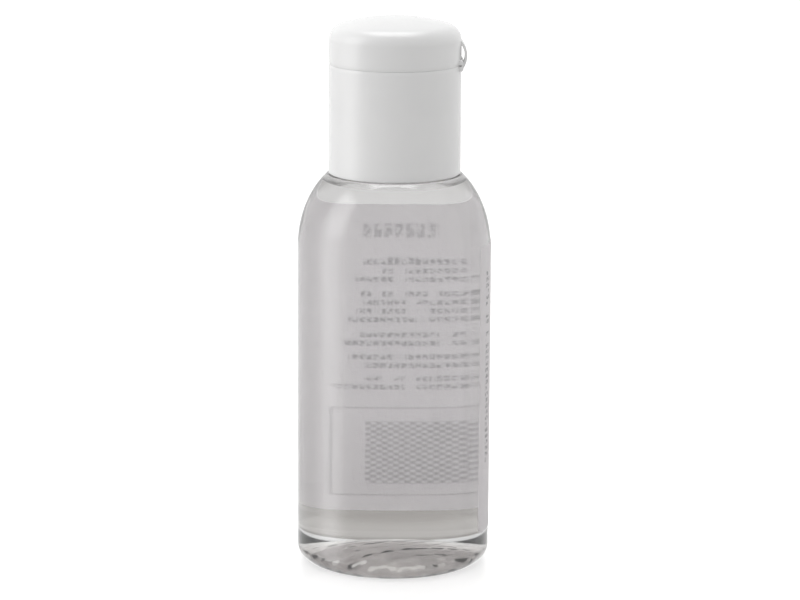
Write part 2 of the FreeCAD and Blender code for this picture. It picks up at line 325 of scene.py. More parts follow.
def turned(name, rows, finishes, kinds=None, ring=False, swell=0.0, lift=0.0):
    """Turned surface: radius and height follow the outline's rows while the angle goes once round Z. Swell is
    added to the radius and lift to the height at each row and angle. A ring's outline is closed; any other
    starts and ends on the axis, where the surface closes to a point."""
    kinds = np.zeros(len(rows), int) if kinds is None else kinds
    r = rows[:, :1] + swell
    z = rows[:, 1:] + lift
    grid = np.stack([r * np.cos(around), r * np.sin(around), z + 0 * around], axis=-1)
    body = grid if ring else grid[1:-1]
    points = body.reshape(-1, 3)
    at = np.arange(len(points)).reshape(-1, ROUND)
    band_kinds = kinds[1:] if ring else kinds[2:-1]
    if ring:
        at = np.vstack([at, at[:1]])
        band_kinds = np.append(band_kinds, kinds[0])
    onward = np.roll(at, -1, axis=1)
    faces = np.stack([at[:-1], onward[:-1], onward[1:], at[1:]], axis=-1).reshape(-1, 4).tolist()
    face_kinds = np.repeat(band_kinds, ROUND)
    if not ring:
        low, high = np.full(ROUND, len(points)), np.full(ROUND, len(points) + 1)
        faces += np.column_stack([low, onward[0], at[0]]).tolist()
        faces += np.column_stack([high, at[-1], onward[-1]]).tolist()
        ends = [np.full(ROUND, kinds[1]), np.full(ROUND, kinds[-1])]
        face_kinds = np.concatenate([face_kinds, *ends])
        points = np.vstack([points, grid[0, :1], grid[-1, :1]])
    return mesh_piece(name, points, faces, finishes, face_kinds)


def slab(name, outer, inner, finishes, uv):
    """Thin closed body between two grids of points: both skins and the four edges that join them. The first
    finish is on the outer skin and the second on the rest; uv is the map of both skins."""
    rows, columns = outer.shape[:2]
    count = rows * columns
    points = np.vstack([outer.reshape(-1, 3), inner.reshape(-1, 3)])
    at = np.arange(count).reshape(rows, columns)
    a, b, c, d = at[:-1, :-1], at[:-1, 1:], at[1:, 1:], at[1:, :-1]
    front = np.stack([a, b, c, d], axis=-1).reshape(-1, 4)
    back = np.stack([a, d, c, b], axis=-1).reshape(-1, 4) + count
    rim = np.concatenate([at[0, :-1], at[:-1, -1], at[-1, :0:-1], at[:0:-1, 0]])
    onward = np.roll(rim, -1)
    edge = np.column_stack([onward, rim, rim + count, onward + count])
    kinds = np.concatenate([np.zeros(len(front)), np.ones(len(back) + len(edge))])
    piece = mesh_piece(name, points, np.vstack([front, back, edge]).tolist(), finishes, kinds)
    layer = piece.data.uv_layers.new(name="print")
    corner = np.empty(len(piece.data.loops), np.int32)
    piece.data.loops.foreach_get("vertex_index", corner)
    flat = np.vstack([uv.reshape(-1, 2), uv.reshape(-1, 2)])
    layer.data.foreach_set("uv", flat[corner].astype(np.float32).ravel())
    return piece


def swept(name, sections, finishes):
    """Closed body through a row of like sections: each section's points run round it, and both ends are
    closed by a face."""
    count, points_round = sections.shape[:2]
    at = np.arange(count * points_round).reshape(count, points_round)
    onward = np.roll(at, -1, axis=1)
    faces = np.stack([at[:-1], onward[:-1], onward[1:], at[1:]], axis=-1).reshape(-1, 4).tolist()
    faces += [at[0, ::-1].tolist(), at[-1].tolist()]
    return mesh_piece(name, sections.reshape(-1, 3), faces, finishes, sharp=40.0)


def along_y(sections, y):
    """Sections in X and Z, set at their places along Y and run the way that turns their faces outwards."""
    across = np.repeat(y[:, None], sections.shape[1], axis=1)
    return np.stack([sections[..., 0], across, sections[..., 1]], axis=-1)[:, ::-1]


def thread_relief(height, start):
    """Height of the thread over its wall: a trapezoid about a line that climbs by one lead in a turn, faded
    out smoothly at both ends of its run."""
    slope = (THREAD_ROOT - THREAD_CREST) / 2
    relief = np.zeros((len(height), ROUND))
    for lap in range(math.ceil(THREAD_TURNS)):
        turns = around / TURN + lap
        middle = start + THREAD_LEAD * turns
        ease = np.clip(np.minimum(turns, THREAD_TURNS - turns) / THREAD_FADE, 0, 1)
        side = np.clip((THREAD_ROOT / 2 - np.abs(height[:, None] - middle)) / slope, 0, 1)
        relief = np.maximum(relief, side * ease * ease * (3 - 2 * ease))
    return THREAD_DEPTH * relief


around = np.arange(ROUND) * TURN / ROUND


# Node materials

TONE_LOW = 0.3
TONE_HIGH = 0.7


def new_finish(name):
    """A new material with its tree of nodes and its Principled shader."""
    finish = bpy.data.materials.new(name)
    finish.use_nodes = True
    tree = finish.node_tree
    return finish, tree, tree.nodes["Principled BSDF"]


def sum_node(tree, operation, a, b=None, clamp=False):
    """Output of a Math node; each input is a number or another node's output."""
    made = tree.nodes.new("ShaderNodeMath")
    made.operation = operation
    made.use_clamp = clamp
    for socket, value in zip(made.inputs, (a, b)):
        if isinstance(value, (int, float)):
            socket.default_value = value
        elif value is not None:
            tree.links.new(value, socket)
    return made.outputs[0]


def product(tree, *factors):
    """All the factors multiplied."""
    result = factors[0]
    for factor in factors[1:]:
        result = sum_node(tree, "MULTIPLY", result, factor)
    return result


def soft_step(tree, value, edge, width):
    """0 below an edge and 1 above it, with a smooth rise of that width (a negative width falls instead)."""
    made = tree.nodes.new("ShaderNodeMapRange")
    made.interpolation_type = "SMOOTHSTEP"
    made.inputs["From Min"].default_value = edge - abs(width) / 2
    made.inputs["From Max"].default_value = edge + abs(width) / 2
    made.inputs["To Min"].default_value = 0.0 if width > 0 else 1.0
    made.inputs["To Max"].default_value = 1.0 if width > 0 else 0.0
    tree.links.new(value, made.inputs["Value"])
    return made.outputs["Result"]


def between(tree, value, low, high, soft):
    """1 between two edges and 0 beyond them, with soft edges."""
    return product(tree, soft_step(tree, value, low, soft), soft_step(tree, value, high, -soft))


def object_place(tree, stretch=None):
    """The piece's own coordinates in metres, squeezed along the axes where stretch says."""
    place = tree.nodes.new("ShaderNodeTexCoord").outputs["Object"]
    if stretch is None:
        return place
    mapping = tree.nodes.new("ShaderNodeMapping")
    mapping.inputs["Scale"].default_value = stretch
    tree.links.new(place, mapping.inputs["Vector"])
    return mapping.outputs["Vector"]


def noise(tree, place, scale, detail=2.0):
    """Cloudy noise of a given scale, as a factor about one half."""
    made = tree.nodes.new("ShaderNodeTexNoise")
    made.inputs["Scale"].default_value = scale
    made.inputs["Detail"].default_value = detail
    made.inputs["Roughness"].default_value = 0.5
    tree.links.new(place, made.inputs["Vector"])
    return made.outputs["Fac"]


def tone(tree, factor, low, high):
    """Colour that goes from one tone to the other over the middle of the factor's range."""
    made = tree.nodes.new("ShaderNodeValToRGB")
    for element, position, colour in zip(made.color_ramp.elements, (TONE_LOW, TONE_HIGH), (low, high)):
        element.position = position
        element.color = (*colour, 1)
    tree.links.new(factor, made.inputs["Fac"])
    return made.outputs["Color"]


def add_bump(tree, shader, height, strength, distance):
    """Fine relief on a shader, of a height in metres."""
    made = tree.nodes.new("ShaderNodeBump")
    made.inputs["Strength"].default_value = strength
    made.inputs["Distance"].default_value = distance
    tree.links.new(height, made.inputs["Height"])
    tree.links.new(made.outputs["Normal"], shader.inputs["Normal"])


def mixed_colour(tree, factor, first, second):
    """First colour, turning into a second plain one as the factor grows."""
    made = tree.nodes.new("ShaderNodeMix")
    made.data_type = "RGBA"
    tree.links.new(factor, made.inputs["Factor"])
    tree.links.new(first, made.inputs["A"])
    made.inputs["B"].default_value = (*second, 1)
    return made.outputs["Result"]


def set_surface(tree, kind, first, second):
    """Two shaders joined by a node of that kind, as the material's surface."""
    made = tree.nodes.new(kind)
    shaders = [socket for socket in made.inputs if socket.type == "SHADER"]
    tree.links.new(first.outputs[0], shaders[0])
    tree.links.new(second.outputs[0], shaders[1])
    tree.links.new(made.outputs[0], tree.nodes["Material Output"].inputs["Surface"])
    return made


PLASTIC_IOR = 1.57
LIQUID_IOR = 1.333
CLEAR_TINT = (0.99, 0.99, 0.99)
BASE_TINT_AND_SHADE = (0.86, 0.83, 0.80)  # of the thick plastic in the base, darkened and warmed to stand for the grey seen through the base: partly painted shade
TINT_RISE = 0.008
WET_ALPHA = 0.04  # how much of the liquid's face shows where it wets the wall


def clear_plastic(name, ior, tint=CLEAR_TINT):
    """Clear blown plastic of a given tint, with the faint upright waviness of a blown wall."""
    finish, tree, shader = new_finish(name)
    shader.inputs["Transmission Weight"].default_value = 1.0
    shader.inputs["Roughness"].default_value = 0.01
    shader.inputs["IOR"].default_value = ior
    paler = tuple(channel + TINT_RISE for channel in tint)
    cloud = tone(tree, noise(tree, object_place(tree), scale=60.0), tint, paler)
    tree.links.new(cloud, shader.inputs["Base Color"])
    wave = noise(tree, object_place(tree, stretch=(1, 1, 0.3)), scale=110.0, detail=1.0)
    add_bump(tree, shader, wave, strength=0.1, distance=0.0003)
    return finish


def clear_liquid(name, alpha):
    """Clear liquid. Where it wets the wall its face is all but unseen, because the wall's face does the
    bending of the light."""
    finish, tree, shader = new_finish(name)
    shader.inputs["Transmission Weight"].default_value = 1.0
    shader.inputs["Roughness"].default_value = 0.0
    shader.inputs["IOR"].default_value = LIQUID_IOR
    shader.inputs["Alpha"].default_value = alpha
    tint = tone(tree, noise(tree, object_place(tree), scale=40.0), (0.98, 0.98, 0.98), (0.99, 0.99, 0.99))
    tree.links.new(tint, shader.inputs["Base Color"])
    return finish


def white_moulding(name):
    """White moulded plastic: satin gloss, a fine grain and a slight unevenness of tone."""
    finish, tree, shader = new_finish(name)
    cloud = noise(tree, object_place(tree), scale=120.0, detail=3.0)
    shade = tone(tree, cloud, (0.865, 0.865, 0.865), (0.885, 0.885, 0.883))
    tree.links.new(shade, shader.inputs["Base Color"])
    shader.inputs["Roughness"].default_value = 0.24
    shader.inputs["IOR"].default_value = 1.49
    shader.inputs["Subsurface Weight"].default_value = 0.12
    shader.inputs["Subsurface Radius"].default_value = (1.0, 1.0, 1.0)
    shader.inputs["Subsurface Scale"].default_value = 0.001
    grain = noise(tree, object_place(tree), scale=2600.0, detail=3.0)
    add_bump(tree, shader, grain, strength=0.05, distance=0.00004)
    return finish


def soft_foam(name):
    """Closed-cell foam: matt and pale, with small cells."""
    finish, tree, shader = new_finish(name)
    cells = tree.nodes.new("ShaderNodeTexVoronoi")
    cells.inputs["Scale"].default_value = 3500.0
    tree.links.new(object_place(tree), cells.inputs["Vector"])
    shade = tone(tree, cells.outputs["Distance"], (0.82, 0.82, 0.80), (0.9, 0.9, 0.89))
    tree.links.new(shade, shader.inputs["Base Color"])
    shader.inputs["Roughness"].default_value = 0.85
    add_bump(tree, shader, cells.outputs["Distance"], strength=0.4, distance=0.0001)
    return finish


# Print in millimetres on the film's map. A block of rows has its top, the number of rows and their pitch, the
# height of a mark, where rows start and end, the size of the blots, how ragged the starts are, the step from
# mark to mark (0 where marks run on) and the share of ink.
Block = namedtuple("Block", "top rows pitch height first last blot ragged step ink")
SMALL_PRINT = dict(pitch=1.66, height=1.05, last=19.0, blot=0.36, ragged=3.6, step=0.68, ink=1.0)
SMALL_ROWS = ((55.7, 3, -6.2), (49.6, 4, -6.4), (41.7, 2, -6.4), (37.4, 2, -5.6), (33.2, 2, -6.2))
HEADER = Block(top=59.5, rows=1, pitch=3.2, height=1.6, first=-4.2, last=4.4, blot=0.42, ragged=0.0,
               step=1.05, ink=0.72)
SIDE_COLUMN = Block(top=56.4, rows=32, pitch=1.15, height=0.8, first=32.1, last=34.2, blot=0.5, ragged=0.0,
                    step=0.0, ink=0.85)
BLOCKS = [HEADER, SIDE_COLUMN]
BLOCKS += [Block(top=top, rows=rows, first=first, **SMALL_PRINT) for top, rows, first in SMALL_ROWS]
GROUP = 1.1  # length of a group of marks
GROUP_GAPS = 0.16  # share of the groups that are left out
BLOT_LEVEL = 0.46
BLOT_EDGE = 0.1
BLOT_BLUR = 0.3
MARK_START = 0.1  # share of a step where a mark starts
MARK_END = 0.85
MARK_EDGE = 0.1
FRAME_BOX = (-5.9, 19.0, 9.7, 27.0)  # left, right, low, high
FRAME_LINE = 0.22
FRAME_INK = 0.7
CHECK_BOX = (-2.7, 9.3, 12.0, 24.3)
CHECK_PITCH = 1.1
CHECK_INK = 0.72
CHECK_EDGE = 0.3
CHECK_BLUR = 2.0
INK = (0.16, 0.16, 0.17)
FILM_LOW = (0.975, 0.96, 0.967)
FILM_HIGH = (0.99, 0.975, 0.982)
FILM_THROUGH = 0.6  # share of the light that goes through the film


def chance(tree, x, y, seed):
    """One random number for each whole pair of x and y."""
    seat = tree.nodes.new("ShaderNodeCombineXYZ")
    for socket, value in zip(seat.inputs, (x, y)):
        if value is not None:
            tree.links.new(sum_node(tree, "FLOOR", value), socket)
    seat.inputs[2].default_value = seed
    made = tree.nodes.new("ShaderNodeTexWhiteNoise")
    made.noise_dimensions = "3D"
    tree.links.new(seat.outputs[0], made.inputs["Vector"])
    return made.outputs["Value"]


def inside_span(tree, value, low, high):
    """1 between two firm limits, else 0."""
    return product(tree, sum_node(tree, "GREATER_THAN", value, low), sum_node(tree, "LESS_THAN", value, high))


def row_marks(tree, u, v, block, soft):
    """Rows of small blurred marks in groups: bands of height, cut by a noise's blots and by random gaps, from
    a ragged start."""
    row = sum_node(tree, "DIVIDE", sum_node(tree, "SUBTRACT", block.top, v), block.pitch)
    edge = soft / block.pitch
    band = between(tree, sum_node(tree, "FRACT", row), edge / 2, block.height / block.pitch, edge)
    place = tree.nodes.new("ShaderNodeCombineXYZ")
    tree.links.new(u, place.inputs[0])
    tree.links.new(v, place.inputs[1])
    place.inputs[2].default_value = block.top
    blots = noise(tree, place.outputs[0], scale=1.0 / block.blot, detail=1.0)
    marks = soft_step(tree, blots, BLOT_LEVEL, BLOT_EDGE + BLOT_BLUR * soft)
    group = sum_node(tree, "DIVIDE", u, GROUP)
    shown = sum_node(tree, "GREATER_THAN", chance(tree, group, row, block.top), GROUP_GAPS)
    late = product(tree, chance(tree, None, row, 2 * block.top), block.ragged)
    span = inside_span(tree, u, sum_node(tree, "ADD", late, block.first), block.last)
    if block.step:
        within = sum_node(tree, "FRACT", sum_node(tree, "DIVIDE", u, block.step))
        mark = between(tree, within, MARK_START, MARK_END, MARK_EDGE + soft / block.step)
        shown = product(tree, shown, mark)
    return product(tree, inside_span(tree, row, 0.0, float(block.rows)), band, marks, shown, span, block.ink)


def boxed(tree, u, v, box, inset, soft):
    """1 inside a box that is made smaller by an inset, else 0, with soft edges."""
    left, right, low, high = box
    across = between(tree, u, left + inset, right - inset, soft)
    return product(tree, across, between(tree, v, low + inset, high - inset, soft))


def ink_share(tree, soft):
    """How much ink lies at a place on the film's map, whose U is the way round the body and V the height,
    both in millimetres: rows of marks, a plain frame line and a patch of even checks."""
    uv = tree.nodes.new("ShaderNodeUVMap")
    uv.uv_map = "print"
    split = tree.nodes.new("ShaderNodeSeparateXYZ")
    tree.links.new(uv.outputs["UV"], split.inputs[0])
    u, v = split.outputs[0], split.outputs[1]
    line = sum_node(tree, "SUBTRACT", boxed(tree, u, v, FRAME_BOX, 0.0, soft),
                    boxed(tree, u, v, FRAME_BOX, FRAME_LINE, soft), clamp=True)
    waves = [sum_node(tree, "SINE", product(tree, s, TURN / CHECK_PITCH)) for s in (u, v)]
    checks = soft_step(tree, product(tree, *waves), 0.0, CHECK_EDGE + CHECK_BLUR * soft)
    patch = product(tree, checks, boxed(tree, u, v, CHECK_BOX, 0.0, soft), CHECK_INK)
    ink = sum_node(tree, "MAXIMUM", product(tree, line, FRAME_INK), patch)
    for block in BLOCKS:
        ink = sum_node(tree, "MAXIMUM", ink, row_marks(tree, u, v, block, soft))
    return ink


def printed_film(name, strength, soft):
    """Milky film that lets light through, with grey print of a given strength and softness."""
    finish, tree, shader = new_finish(name)
    film = tone(tree, noise(tree, object_place(tree), scale=300.0, detail=3.0), FILM_LOW, FILM_HIGH)
    colour = mixed_colour(tree, product(tree, ink_share(tree, soft), strength), film, INK)
    tree.links.new(colour, shader.inputs["Base Color"])
    shader.inputs["Roughness"].default_value = 0.4
    shader.inputs["IOR"].default_value = 1.5
    through = tree.nodes.new("ShaderNodeBsdfTranslucent")
    tree.links.new(colour, through.inputs["Color"])
    mix = set_surface(tree, "ShaderNodeMixShader", shader, through)
    mix.inputs["Fac"].default_value = FILM_THROUGH
    return finish


clear_wall = clear_plastic("clear bottle plastic", PLASTIC_IOR)
wet_wall = clear_plastic("clear bottle plastic against liquid", PLASTIC_IOR / LIQUID_IOR)
# The base's tint holds painted shade: it darkens and warms what is seen through the thick base.
wet_base = clear_plastic("thick base plastic against liquid", PLASTIC_IOR / LIQUID_IOR, BASE_TINT_AND_SHADE)
liquid_side = clear_liquid("liquid against the wall", WET_ALPHA)
liquid_top = clear_liquid("liquid surface", 1.0)
film_front = printed_film("film with grey print", strength=0.56, soft=0.12)
film_back = printed_film("film with print showing through", strength=0.16, soft=0.22)
foam = soft_foam("pale foam")
white_cap = white_moulding("white moulded plastic")


def set_piece(piece, body, slot, *nodes):
    """A piece rides on its body and stands for the CAD nodes named; its slot is not used."""
    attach(piece, body)
    if nodes:
        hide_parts(*nodes)


# Bottle

def neck_rows():
    """Rows up the neck, close together over the thread."""
    low = THREAD_START - THREAD_ROOT
    high = THREAD_START + THREAD_TURNS * THREAD_LEAD + THREAD_ROOT
    return upright_rows(NECK_R, np.arange(low, high, THREAD_ROW))


def bottle_outline():
    """Out along the domed base, up the outside, over the mouth and down the inside. The wetted inside has
    finish 1 and the base's inside finish 2."""
    base = dome(HOLLOW_R, 0.0, PUSH_UP)
    foot = rounded(base[-2], (HOLLOW_R, 0.0, FOOT_EASE), (FOOT_R, 0.0))
    heel = arc((FOOT_R, HEEL_R), HEEL_R, -90, 0, HEEL_STEPS)
    side = shoulder(0, LEDGE)
    root = rounded(side[-2], (LEDGE_R, LEDGE, LEDGE_EASE), (NECK_R, LEDGE, ROOT_EASE),
                   (NECK_R, RING_BASE, RING_ROOT_EASE), (RING_R, RING_BASE, RING_EASE),
                   (RING_R, RING_TOP, RING_EASE), (NECK_R, RING_TOP, RING_TOP_EASE),
                   (NECK_R, THREAD_START - THREAD_ROOT))
    neck = neck_rows()
    mouth = rounded(neck[-1], (NECK_R, LAND, MOUTH_EASE), (BORE_R, LAND, MOUTH_EASE),
                    (BORE_R, FILL + MENISCUS))
    entry_middle = (BORE_R + NECK_ENTRY, LEDGE - LEDGE_THIN + NECK_ENTRY)
    entry = arc(entry_middle, NECK_ENTRY, 180, 270, ENTRY_STEPS)
    wall = shoulder(BODY_WALL, LEDGE - LEDGE_WALL)[::-1]
    inner_heel = arc((FOOT_R, HEEL_R), HEEL_R - BODY_WALL, 0, -90, HEEL_STEPS)
    inner_base = dome(HOLLOW_R, BODY_WALL, PUSH_UP + BASE_WALL)[::-1]
    return outline((np.vstack([base[:-1], foot, heel, side[:-1], root, neck, mouth]), 0),
                   (np.vstack([entry, wall, inner_heel]), 1), (inner_base, 2))


def base_ripple(r):
    """Uneven underside of the blown base: crossing sine waves and a finer product of two waves, one of which
    sways sideways with the other. All of it dies away towards the rim."""
    x, y = r * np.cos(around), r * np.sin(around)
    wave = sum(np.sin(along * x + across * y + start) for along, across, start in RIPPLE_WAVES)
    along, across, start = CURL_CROSS
    sway = SWAY * np.sin(SWAY_WAVE * y + SWAY_START)
    curl = np.sin(CURL_WAVE * x + sway + CURL_START) * np.sin(along * x + across * y + start)
    return (RIPPLE * wave + CURL * curl) * np.clip(1 - (r / (HOLLOW_R - RIPPLE_MARGIN)) ** 4, 0, 1)


rows, kinds = bottle_outline()
on_neck = (np.abs(rows[:, 0] - NECK_R) < SAME) & (rows[:, 1] > RING_TOP) & (kinds == 0)
relief = np.where(on_neck[:, None], thread_relief(rows[:, 1], THREAD_START), 0.0)
outside = np.arange(len(rows)) < np.argmax(rows[:, 1])
under = outside & (rows[:, 1] <= PUSH_UP + SAME) & (rows[:, 0] < HOLLOW_R)
ripple = np.where(under[:, None], base_ripple(rows[:, :1]), 0.0)
bottle = turned("bottle_wall", rows, [clear_wall, wet_wall, wet_base], kinds, swell=relief, lift=ripple)
set_piece(bottle, "bottle", "clear_bottle", "bottle")


# Liquid

def liquid_outline():
    """Just inside the wetted wall, with the liquid's edge drawn up the neck at the top (finish 1): its height
    falls away from the wall as an exponential."""
    base = dome(HOLLOW_R, BODY_WALL + LIQUID_GAP, PUSH_UP + BASE_WALL + LIQUID_GAP)
    heel = arc((FOOT_R, HEEL_R), HEEL_R - BODY_WALL - LIQUID_GAP, -90, 0, HEEL_STEPS)
    wall = shoulder(BODY_WALL + LIQUID_GAP, LEDGE - LEDGE_WALL - LIQUID_GAP)
    entry_middle = (BORE_R + NECK_ENTRY, LEDGE - LEDGE_THIN + NECK_ENTRY)
    entry = arc(entry_middle, NECK_ENTRY + LIQUID_GAP, 270, 180, ENTRY_STEPS)
    edge_r = BORE_R - LIQUID_GAP
    r = np.linspace(edge_r, 0, SURFACE_STEPS)
    surface = np.column_stack([r, FILL + MENISCUS * np.exp((r - edge_r) / MENISCUS_REACH)])
    return outline((np.vstack([base, heel, wall, entry, [[edge_r, FILL + MENISCUS]]]), 0), (surface[1:], 1))


rows, kinds = liquid_outline()
liquid = turned("solution_fill", rows, [liquid_side, liquid_top], kinds)
set_piece(liquid, "bottle", "clear_solution", "solution")


# Label

def label_grids():
    """Both skins of the film and their map: the body's radius at each height, carried over the film's angle,
    with corners rounded by a circle."""
    ease = LABEL_CORNER * (1 - np.cos(np.linspace(0, math.pi / 2, LABEL_CORNER_ROWS)))
    straight = np.linspace(LABEL_BOTTOM + LABEL_CORNER, LABEL_TOP - LABEL_CORNER, LABEL_ROWS)
    z = np.concatenate([LABEL_BOTTOM + ease, straight[1:], LABEL_TOP - ease[::-1][1:]])
    side = shoulder(0, LEDGE)
    body = np.where(z < BODY_TOP, BODY_R, np.interp(z, side[:, 1], side[:, 0]))
    edge = np.minimum(np.minimum(z - LABEL_BOTTOM, LABEL_TOP - z), LABEL_CORNER)
    cut = (LABEL_CORNER - np.sqrt(LABEL_CORNER ** 2 - (LABEL_CORNER - edge) ** 2)) / BODY_R
    first, last = (LABEL_HINGE_SIDE - cut)[:, None], (cut - LABEL_FREE_SIDE)[:, None]
    turn = first + (last - first) * np.linspace(0, 1, LABEL_COLUMNS)
    height = z[:, None] + 0 * turn
    skins = [np.stack([r[:, None] * np.sin(turn), r[:, None] * np.cos(turn), height], axis=-1)
             for r in (body + LABEL_OUT, body + LABEL_GAP)]
    return *skins, np.stack([turn * BODY_R, height], axis=-1)


film_outer, film_inner, film_uv = label_grids()
label = slab("label_film", film_outer, film_inner, [film_front, film_back], film_uv)
set_piece(label, "bottle", "label_film", "label")


# Washer

liner_middle = (LINER_IN, (LAND + LINER_TOP) / 2)
liner_rows = rounded(liner_middle, (LINER_IN, LAND, LINER_EASE), (LINER_OUT, LAND, LINER_EASE),
                     (LINER_OUT, LINER_TOP, LINER_EASE), (LINER_IN, LINER_TOP, LINER_EASE), liner_middle)
liner = turned("foam_washer", liner_rows[:-1], [foam], ring=True)
set_piece(liner, "washer", "liner_foam", "sealing_liner")


# Cap base

def cap_outline():
    """Round the section: under the deck, down the threaded barrel, up the slot, down and up the skirt, over
    the rim and the collar, across the deck and over the spout."""
    low = CAP_THREAD_START - THREAD_ROOT
    high = CAP_THREAD_START + THREAD_TURNS * THREAD_LEAD + THREAD_ROOT
    barrel = upright_rows(BARREL_R, np.arange(high, low, -THREAD_ROW))
    under = rounded((DECK_START_R, DECK_UNDER), (BARREL_R, DECK_UNDER, DECK_EASE), (BARREL_R, high))
    skirt = rounded((BARREL_R, low), (BARREL_R, BARREL_END, SLOT_EASE), (BARREL_OUT, BARREL_END, SLOT_EASE),
                    (BARREL_OUT, SLOT_TOP, SLOT_EASE), (SKIRT_IN, SLOT_TOP, SLOT_EASE),
                    (SKIRT_IN, SKIRT_BOTTOM, SLOT_EASE), (CAP_R, SKIRT_BOTTOM, SKIRT_EASE),
                    (CAP_R, SKIRT_BOTTOM + SKIRT_TURN))
    heights = np.linspace(SKIRT_BOTTOM + WALL_LOW, RIM_TOP - WALL_HIGH, WALL_ROWS)
    wall = upright_rows(CAP_R, heights)
    lip = SEAM - SEAM_LIP
    rim = rounded((CAP_R, lip - GROOVE_REACH), (CAP_R, lip - GROOVE_HALF, GROOVE_EASE),
                  (CAP_R - GROOVE_DEPTH, lip, LIP_EASE), (COLLAR_R, lip, COLLAR_ROOT_EASE),
                  (COLLAR_R, COLLAR_TOP, COLLAR_EASE), (COLLAR_IN, COLLAR_TOP, COLLAR_EASE),
                  (COLLAR_IN, DECK_TOP, COLLAR_FOOT_EASE), (SPOUT_R, DECK_TOP, SPOUT_FOOT_EASE),
                  (SPOUT_R, SPOUT_TOP, SPOUT_EASE), (ORIFICE_R, SPOUT_TOP, ORIFICE_EASE),
                  (ORIFICE_R, DECK_UNDER, ORIFICE_UNDER_EASE), (DECK_START_R, DECK_UNDER))
    return outline((np.vstack([under, barrel, skirt, wall, rim[:-1]]), 0))[0]


rows = cap_outline()
on_barrel = np.abs(rows[:, :1] - BARREL_R) < SAME
relief = np.where(on_barrel, -thread_relief(rows[:, 1], CAP_THREAD_START), 0.0)
on_wall = np.abs(rows[:, :1] - CAP_R) < SAME
sink = np.where(on_wall, -SINK_DEPTH * np.exp(-((rows[:, 1:] - SINK_HEIGHT) / SINK_SPREAD) ** 2), 0.0)
cap_base = turned("cap_moulding", rows, [white_cap], ring=True, swell=relief + sink)
set_piece(cap_base, "cap", "white_cap", "cap_base")


# Lid

def lid_form(inset, bottom):
    """Wall, corner and domed top of the lid, all moved inwards by an inset, from a height up to the axis."""
    corner_r = CAP_R - LID_CORNER
    lean = math.acos(corner_r / (LID_DOME - LID_CORNER))
    dome_z = LID_TOP - LID_DOME
    corner_middle = (corner_r, dome_z + (LID_DOME - LID_CORNER) * math.sin(lean))
    corner = arc(corner_middle, LID_CORNER - inset, 0, math.degrees(lean), LID_STEPS)
    top = arc((0, dome_z), LID_DOME - inset, math.degrees(lean), 90, LID_STEPS)
    return np.vstack([[[CAP_R - inset, bottom]], corner, top[1:]])


def lid_outline():
    """Down the plug's tip and up its side, out under the domed ceiling, round the lower rim and over the
    top."""
    lip = SEAM + SEAM_LIP
    ceiling = lid_form(LID_WALL, lip + LID_RIM)[::-1]
    ceiling = ceiling[ceiling[:, 0] > PLUG_R + PLUG_FOOT]
    plug = rounded((0.0, PLUG_TIP), (PLUG_R, PLUG_TIP, PLUG_TIP_EASE),
                   (PLUG_R, ceiling[0, 1], PLUG_FOOT_EASE), ceiling[0])
    rim = rounded((LID_BORE, lip + LID_RIM), (LID_BORE, lip, LID_IN_EASE),
                  (CAP_R - GROOVE_DEPTH, lip, LIP_EASE), (CAP_R, lip + GROOVE_HALF, GROOVE_EASE),
                  (CAP_R, lip + LID_RIM))
    over = lid_form(0.0, lip + LID_RIM)
    over[-1, 0] = 0.0
    return outline((np.vstack([plug, ceiling[1:], rim, over]), 0))[0]


lid = turned("lid_moulding", lid_outline(), [white_cap])
set_piece(lid, "lid", "white_cap", "flip_lid")


# Hinge

def ear_middle(side):
    """Place along Y of the ear and the web on one side of the hinge."""
    return side * (EAR_INNER + EAR_WIDTH / 2)


def ear(name, side, seam_face, foot):
    """Small block on the wall that carries a web: a section with its outer corner eased, carried along Y and
    made smaller towards its ends. The section runs from the face at the seam to its foot."""
    low, high = sorted((seam_face, foot))
    eases = (EAR_EASE, EAR_SEAM_EASE) if foot < seam_face else (EAR_SEAM_EASE, EAR_EASE)
    start = (EAR_ROOT, (low + high) / 2)
    section = rounded(start, (EAR_ROOT, low), (HINGE_X, low, eases[0]), (HINGE_X, high, eases[1]),
                      (EAR_ROOT, high), start)[:-1]
    ends = np.concatenate([EAR_ENDS * (-1, 1), EAR_ENDS[::-1]])
    middle = section.mean(axis=0)
    sections = middle + (section - middle) * ends[:, 1, None, None]
    return swept(name, along_y(sections, ear_middle(side) + ends[:, 0] * EAR_WIDTH / 2), [white_cap])


def hinge_film(name, side):
    """Thin web on the hinge's axis: a section that is thinnest at its middle height and thickens with the
    square of the way from it, carried along Y."""
    t = np.linspace(-1, 1, WEB_ROWS)
    z = SEAM + (SEAM_HALF + WEB_LAP) * t
    half = WEB_DEPTH / 2 * (WEB_WAIST + (1 - WEB_WAIST) * t ** 2)
    x = HINGE_X - WEB_DEPTH / 2
    section = np.concatenate([np.column_stack([x + half, z]), np.column_stack([x - half, z])[::-1]])
    y = ear_middle(side) + np.array([-WEB_HALF, WEB_HALF]) * EAR_WIDTH
    return swept(name, along_y(np.repeat(section[None], 2, axis=0), y), [white_cap])


def strap_curve(foot, crest):
    """Circle arc through both feet and the crest, cut off where it is sunk in the wall, as points from the
    lower foot to the upper one."""
    middle = (STRAP_LOW + STRAP_HIGH) / 2
    half = (STRAP_HIGH - STRAP_LOW) / 2 + foot
    bow = crest - (CAP_R - STRAP_BOW)
    radius = (half ** 2 + bow ** 2) / (2 * bow)
    centre_x = crest - radius
    reach = math.acos((CAP_R - STRAP_SINK - centre_x) / radius)
    t = np.linspace(-reach, reach, STRAP_STEPS)
    return np.column_stack([centre_x + radius * np.cos(t), middle + radius * np.sin(t)])


